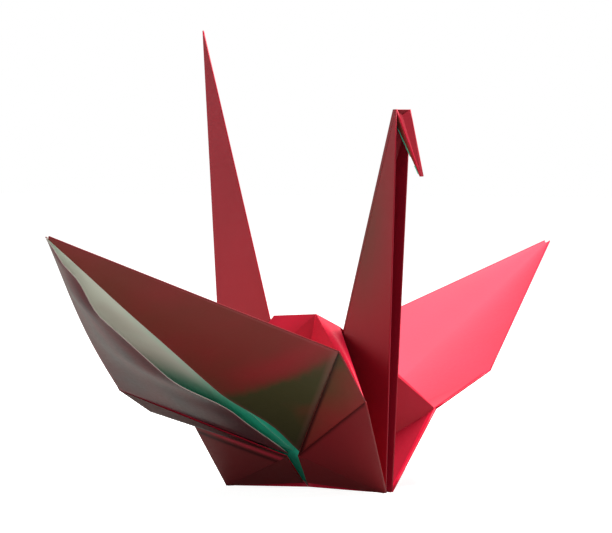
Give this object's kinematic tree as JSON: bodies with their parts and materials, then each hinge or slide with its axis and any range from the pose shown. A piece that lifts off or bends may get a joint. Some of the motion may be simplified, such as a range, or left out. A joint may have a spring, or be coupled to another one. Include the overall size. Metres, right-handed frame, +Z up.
{
  "type": "origami crane",
  "caption": "Folded paper crane with lifted wings, a pointed tail, a bent beak and a puffed body, standing on its keel.",
  "frame": {"origin": "middle of the overall box, at the level of the surface that the keel stands on", "axes": "+X towards the neck and beak, +Y towards the bird's left wing, +Z up"},
  "size_m": [0.0414, 0.133, 0.0719],
  "materials": {
    "satin_paper": "satin red face with a teal green reverse, thin light rim along the cut edges"
  },
  "bodies": {
    "root": {"folded_crane": "satin_paper"}
  },
  "joints": []
}
